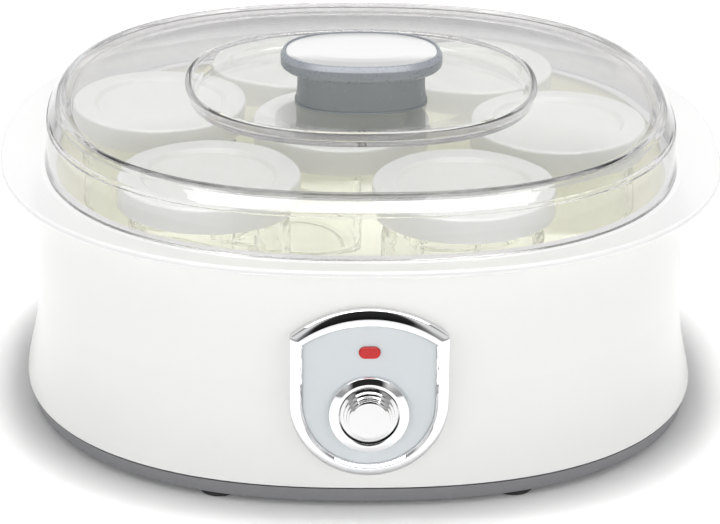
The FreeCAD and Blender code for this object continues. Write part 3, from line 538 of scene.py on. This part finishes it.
def add_camera():
    reach = CAMERA_DISTANCE * math.cos(CAMERA_LIFT)
    spot = Vector((
        CAMERA_ASIDE + reach * math.sin(CAMERA_SIDE),
        -reach * math.cos(CAMERA_SIDE),
        STAND_HEIGHT + CAMERA_DISTANCE * math.sin(CAMERA_LIFT),
    ))
    data = bpy.data.cameras.new("camera")
    data.sensor_width = 36.0
    data.lens = LENS
    camera = bpy.data.objects.new("camera", data)
    bpy.context.scene.collection.objects.link(camera)
    aim = Vector((CAMERA_ASIDE, 0, AIM_HEIGHT)) - spot
    facing = aim.to_track_quat("-Z", "Y").to_matrix().to_4x4()
    camera.matrix_world = Matrix.Translation(spot) @ facing @ Matrix.Rotation(CAMERA_ROLL, 4, "Z")
    bpy.context.scene.camera = camera


def add_area(name, spot, aim, size, power, soaks=True, mirrors=True):
    """A softbox; it may light only matt surfaces, or show only in glossy ones."""
    data = bpy.data.lights.new(name, "AREA")
    data.shape = "RECTANGLE"
    data.size, data.size_y = size
    data.energy = power
    lamp = bpy.data.objects.new(name, data)
    lamp.location = spot
    lamp.rotation_euler = (Vector(aim) - Vector(spot)).to_track_quat("-Z", "Y").to_euler()
    lamp.visible_diffuse = soaks
    lamp.visible_glossy = mirrors
    lamp.visible_transmission = mirrors
    bpy.context.scene.collection.objects.link(lamp)


def add_lights():
    middle = (0.0, 0.0, 0.06)
    add_area("key", (0.0, 0.05, 1.6), middle, (0.4, 0.4), 22, mirrors=False)
    add_area("front", (0.0, -2.2, 0.5), middle, (1.6, 0.6), 8, mirrors=False)
    for side in (-1, 1):
        spot = (side * 1.3, -0.94, 0.42)
        add_area("side_%d" % (side + 1), spot, middle, (1.1, 0.8), 6, mirrors=False)
    over_front = (0.0, -0.855)
    add_area("ceiling", (*over_front, 1.1), (*over_front, 0), (2.0, 0.91), 38, soaks=False)


def ramp(tree, value, stops):
    """A grey level that follows (place, level) stops."""
    node = tree.nodes.new("ShaderNodeValToRGB")
    points = node.color_ramp.elements
    while len(points) < len(stops):
        points.new(0.5)
    for point, (place, level) in zip(points, stops):
        point.position = place
        point.color = (level, level, level, 1)
    tree.links.new(value, node.inputs["Fac"])
    return node.outputs["Color"]


def vector_math(tree, operation, vector, constant=None):
    """One vector step, with an optional constant second operand."""
    node = tree.nodes.new("ShaderNodeVectorMath")
    node.operation = operation
    tree.links.new(vector, node.inputs[0])
    if constant is not None:
        node.inputs[1].default_value = constant
    return node.outputs


def add_world():
    """Grey studio with a bright band low on its walls and a dark gap low in front."""
    world = bpy.data.worlds.new("studio")
    world.use_nodes = True
    tree = world.node_tree
    place = tree.nodes.new("ShaderNodeTexCoord").outputs["Generated"]
    split = tree.nodes.new("ShaderNodeSeparateXYZ")
    tree.links.new(place, split.inputs["Vector"])
    walls = ramp(tree, split.outputs["Z"], WALL_LEVELS)
    narrowed = vector_math(tree, "MULTIPLY", place, GAP_NARROWING)["Vector"]
    unit = vector_math(tree, "NORMALIZE", narrowed)["Vector"]
    towards_gap = vector_math(tree, "DOT_PRODUCT", unit, GAP_PLACE.normalized())["Value"]
    gap = ramp(tree, towards_gap, GAP_LEVELS)
    node, first, second, result = colour_mix(tree, "MULTIPLY")
    node.inputs["Factor"].default_value = 1.0
    tree.links.new(walls, first)
    tree.links.new(gap, second)
    tree.links.new(result, tree.nodes["Background"].inputs["Color"])
    bpy.context.scene.world = world


def add_floor():
    far = FLOOR_HALF
    corners = [(-far, -far, 0), (far, -far, 0), (far, far, 0), (-far, far, 0)]
    mesh = bpy.data.meshes.new("floor")
    mesh.from_pydata(corners, [], [(0, 1, 2, 3)])
    floor = bpy.data.objects.new("floor", mesh)
    bpy.context.scene.collection.objects.link(floor)
    material, tree, shader, place = new_material("floor_paper")
    colour = tinted(tree, noise(tree, place, 60.0), (0.96, 0.96, 0.96), (0.98, 0.98, 0.98))
    tree.links.new(colour, shader.inputs["Base Color"])
    shader.inputs["Roughness"].default_value = 0.9
    mesh.materials.append(material)


def main():
    scene = bpy.context.scene
    scene.view_settings.view_transform = "Standard"
    scene.cycles.max_bounces = LIGHT_BOUNCES + 8
    scene.cycles.glossy_bounces = LIGHT_BOUNCES
    scene.cycles.transmission_bounces = LIGHT_BOUNCES
    scene.cycles.transparent_max_bounces = LIGHT_BOUNCES + 8
    dress_cad()
    add_lid()
    add_knob()
    add_jars()
    add_bezel()
    add_button()
    add_camera()
    add_world()
    add_floor()
    add_lights()


main()
